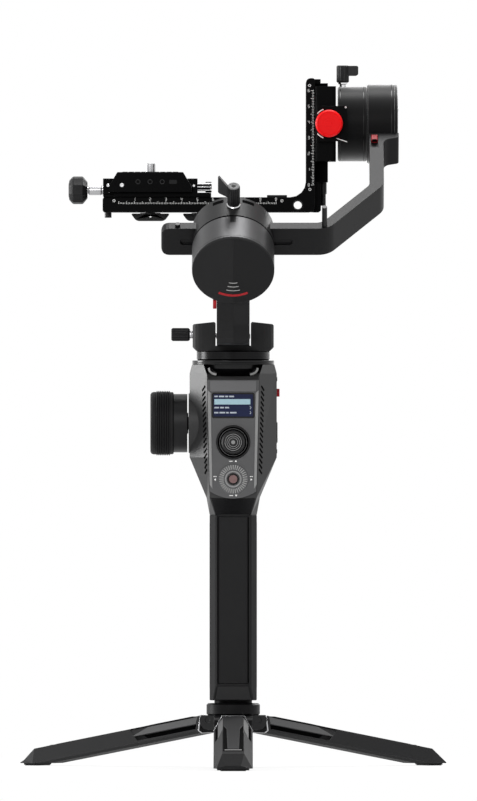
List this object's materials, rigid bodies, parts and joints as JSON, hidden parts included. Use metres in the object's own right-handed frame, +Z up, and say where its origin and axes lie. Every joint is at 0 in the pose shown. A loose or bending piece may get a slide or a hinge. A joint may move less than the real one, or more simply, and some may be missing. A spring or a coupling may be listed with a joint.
{
  "type": "camera gimbal",
  "caption": "Hand-held powered gimbal with crossed pan, roll and tilt axes, a quick-release camera bracket, a control box with a focus wheel, and a folding mini tripod.",
  "frame": {"origin": "on the floor, at the middle of the box round the tripod's feet", "axes": "+X to the operator's right, +Y away from the operator, +Z up along the pan axis"},
  "size_m": [0.2728, 0.2366, 0.4465],
  "materials": {
    "black_plastic": "satin",
    "grey_plastic": "satin",
    "black_metal": "black anodised",
    "grey_metal": "dark grey anodised",
    "steel": "brushed",
    "windings": "enamelled wire",
    "rubber": "matt",
    "red_plastic": "gloss",
    "display": "gloss",
    "board": "satin",
    "cells": "wrapped"
  },
  "bodies": {
    "stand": {"tripod_hub": "black_metal", "tripod_collar": "black_metal", "leg_pins": "steel", "handle_shell": "black_plastic", "handle_base": "steel", "control_box": "black_plastic", "control_fascia": "grey_plastic", "display_window": "display", "main_board": "board", "stick_well": "black_plastic", "wheel_boss": "black_plastic", "pan_base": "black_metal", "pan_windings": "windings", "pan_bearing": "steel"},
    "front leg": {"leg_front": "black_metal", "foot_front": "rubber"},
    "left leg": {"leg_left": "black_metal", "foot_left": "rubber"},
    "right leg": {"leg_right": "black_metal", "foot_right": "rubber"},
    "battery": {"battery_case": "black_plastic", "battery_cells": "cells"},
    "focus wheel": {"focus_hub": "black_plastic", "focus_grip": "rubber"},
    "stick yoke": {"stick_yoke": "steel"},
    "stick": {"stick_cap": "black_plastic"},
    "dial": {"dial_ring": "grey_plastic"},
    "record button": {"record_button": "red_plastic"},
    "side button": {"side_button": "red_plastic"},
    "trigger": {"trigger": "black_plastic"},
    "pan head": {"pan_rotor": "black_metal", "pan_clamp": "black_metal"},
    "pan knob": {"pan_knob": "black_plastic"},
    "pan arm": {"pan_arm": "black_metal", "roll_can": "grey_metal", "roll_cap": "black_plastic", "roll_windings": "windings"},
    "roll lock": {"roll_lock": "red_plastic"},
    "roll head": {"roll_clamp": "black_metal"},
    "roll lever": {"roll_lever": "black_plastic"},
    "roll arm": {"roll_arm": "black_metal", "arm_screws": "steel", "tilt_can": "black_metal", "tilt_cap": "black_metal", "tilt_windings": "windings"},
    "tilt lock": {"tilt_lock": "red_plastic"},
    "tilt head": {"tilt_rotor": "black_metal", "rail_clamp": "black_metal"},
    "tilt lever": {"tilt_lever": "black_plastic"},
    "pull knob": {"pull_knob": "red_plastic"},
    "bracket": {"bracket": "black_metal", "stop_screws": "steel"},
    "quick base": {"quick_base": "black_metal"},
    "quick jaw": {"quick_jaw": "black_metal"},
    "jaw knob": {"jaw_knob": "black_metal"},
    "safety pin": {"safety_pin": "steel"},
    "camera plate": {"camera_plate": "black_metal"},
    "camera screw": {"camera_screw": "steel"},
    "left thumb screw": {"thumb_screw_left": "black_metal"},
    "right thumb screw": {"thumb_screw_right": "black_metal"}
  },
  "joints": [
    {"name": "front_leg_fold", "type": "hinge", "parent": "stand", "child": "front leg", "pos_m": [0, 0.02145, 0.03004], "axis": [1, 0, 0], "range_deg": [0, 73]},
    {"name": "left_leg_fold", "type": "hinge", "parent": "stand", "child": "left leg", "pos_m": [-0.01039, 0.03945, 0.03004], "axis": [-0.5, -0.866, 0], "range_deg": [0, 73]},
    {"name": "right_leg_fold", "type": "hinge", "parent": "stand", "child": "right leg", "pos_m": [0.01039, 0.03945, 0.03004], "axis": [-0.5, 0.866, 0], "range_deg": [0, 73]},
    {"name": "battery_slide", "type": "slide", "parent": "stand", "child": "battery", "axis": [0, -1, 0], "range_m": [0, 0.06]},
    {"name": "focus_turn", "type": "hinge", "parent": "stand", "child": "focus wheel", "pos_m": [-0.0284, 0.03345, 0.21894], "axis": [1, 0, 0], "continuous": true},
    {"name": "stick_up_down", "type": "hinge", "parent": "stand", "child": "stick yoke", "pos_m": [0, 0.01045, 0.20684], "axis": [1, 0, 0], "range_deg": [-10, 10], "stiffness_Nm_per_rad": 0.06},
    {"name": "stick_left_right", "type": "hinge", "parent": "stick yoke", "child": "stick", "pos_m": [0, 0.01045, 0.20684], "axis": [0, 0, 1], "range_deg": [-10, 10], "stiffness_Nm_per_rad": 0.06},
    {"name": "dial_turn", "type": "hinge", "parent": "stand", "child": "dial", "pos_m": [0, 0.00445, 0.18344], "axis": [0, 1, 0], "continuous": true},
    {"name": "record_press", "type": "slide", "parent": "stand", "child": "record button", "axis": [0, 1, 0], "range_m": [0, 0.0008], "stiffness_N_per_m": 1500},
    {"name": "side_press", "type": "slide", "parent": "stand", "child": "side button", "axis": [-1, 0, 0], "range_m": [0, 0.0012], "stiffness_N_per_m": 1200},
    {"name": "trigger_pull", "type": "hinge", "parent": "stand", "child": "trigger", "pos_m": [0, 0.05245, 0.23714], "axis": [-1, 0, 0], "range_deg": [0, 8], "stiffness_Nm_per_rad": 0.8},
    {"name": "pan_turn", "type": "hinge", "parent": "stand", "child": "pan head", "pos_m": [0, 0.03345, 0.25934], "axis": [0, 0, 1], "continuous": true},
    {"name": "pan_knob_turn", "type": "hinge", "parent": "pan head", "child": "pan knob", "pos_m": [-0.03, 0.03345, 0.27534], "axis": [-1, 0, 0], "range_deg": [-180, 180]},
    {"name": "pan_arm_slide", "type": "slide", "parent": "pan head", "child": "pan arm", "axis": [0, 1, 0], "range_m": [-0.01, 0.015]},
    {"name": "roll_lock_slide", "type": "slide", "parent": "pan arm", "child": "roll lock", "axis": [0, 0.788, 0.6157], "range_m": [0, 0.004]},
    {"name": "roll_turn", "type": "hinge", "parent": "pan arm", "child": "roll head", "pos_m": [0, -0.08711, 0.31504], "axis": [0, 0.788, 0.6157], "range_deg": [-150, 150]},
    {"name": "roll_lever_turn", "type": "hinge", "parent": "roll head", "child": "roll lever", "pos_m": [0.0003, -0.05993, 0.33628], "axis": [0, -0.6157, 0.788], "range_deg": [-90, 90]},
    {"name": "roll_arm_slide", "type": "slide", "parent": "roll head", "child": "roll arm", "axis": [1, 0, 0], "range_m": [-0.009, 0.009]},
    {"name": "tilt_lock_slide", "type": "slide", "parent": "roll arm", "child": "tilt lock", "axis": [0, -0.788, -0.6157], "range_m": [0, 0.006]},
    {"name": "tilt_turn", "type": "hinge", "parent": "roll arm", "child": "tilt head", "pos_m": [0.0856, 0.03345, 0.40924], "axis": [1, 0, 0], "range_deg": [-120, 150]},
    {"name": "tilt_lever_turn", "type": "hinge", "parent": "tilt head", "child": "tilt lever", "pos_m": [0.0697, 0.03345, 0.43424], "axis": [0, 0, 1], "range_deg": [-90, 90]},
    {"name": "pull_knob_pull", "type": "slide", "parent": "tilt head", "child": "pull knob", "axis": [0, -1, 0], "range_m": [0, 0.004], "stiffness_N_per_m": 2000},
    {"name": "bracket_slide", "type": "slide", "parent": "tilt head", "child": "bracket", "axis": [0, 0, 1], "range_m": [0, 0.03]},
    {"name": "quick_base_slide", "type": "slide", "parent": "bracket", "child": "quick base", "axis": [1, 0, 0], "range_m": [-0.01, 0.008]},
    {"name": "quick_jaw_slide", "type": "slide", "parent": "quick base", "child": "quick jaw", "axis": [-1, 0, 0], "range_m": [0, 0.0025]},
    {"name": "jaw_knob_turn", "type": "hinge", "parent": "quick jaw", "child": "jaw knob", "pos_m": [-0.1, 0.03345, 0.36714], "axis": [-1, 0, 0], "range_deg": [0, 720]},
    {"name": "safety_pin_pull", "type": "slide", "parent": "quick base", "child": "safety pin", "axis": [1, 0, 0], "range_m": [0, 0.003], "stiffness_N_per_m": 1500},
    {"name": "plate_slide", "type": "slide", "parent": "quick base", "child": "camera plate", "axis": [0, 1, 0], "range_m": [-0.02, 0.02]},
    {"name": "camera_screw_turn", "type": "hinge", "parent": "camera plate", "child": "camera screw", "pos_m": [-0.0527, 0.04045, 0.37844], "axis": [0, 0, 1], "continuous": true},
    {"name": "left_thumb_screw_turn", "type": "hinge", "parent": "quick base", "child": "left thumb screw", "pos_m": [-0.0527, 0.03345, 0.35304], "axis": [0, 0, 1], "range_deg": [-180, 180]},
    {"name": "right_thumb_screw_turn", "type": "hinge", "parent": "quick base", "child": "right thumb screw", "pos_m": [-0.02, 0.03345, 0.35304], "axis": [0, 0, 1], "range_deg": [-180, 180]}
  ],
  "couplings": [
    {"joint": "quick_jaw_slide", "follows": "jaw_knob_turn", "m_per_rad": 0.00019894}
  ]
}
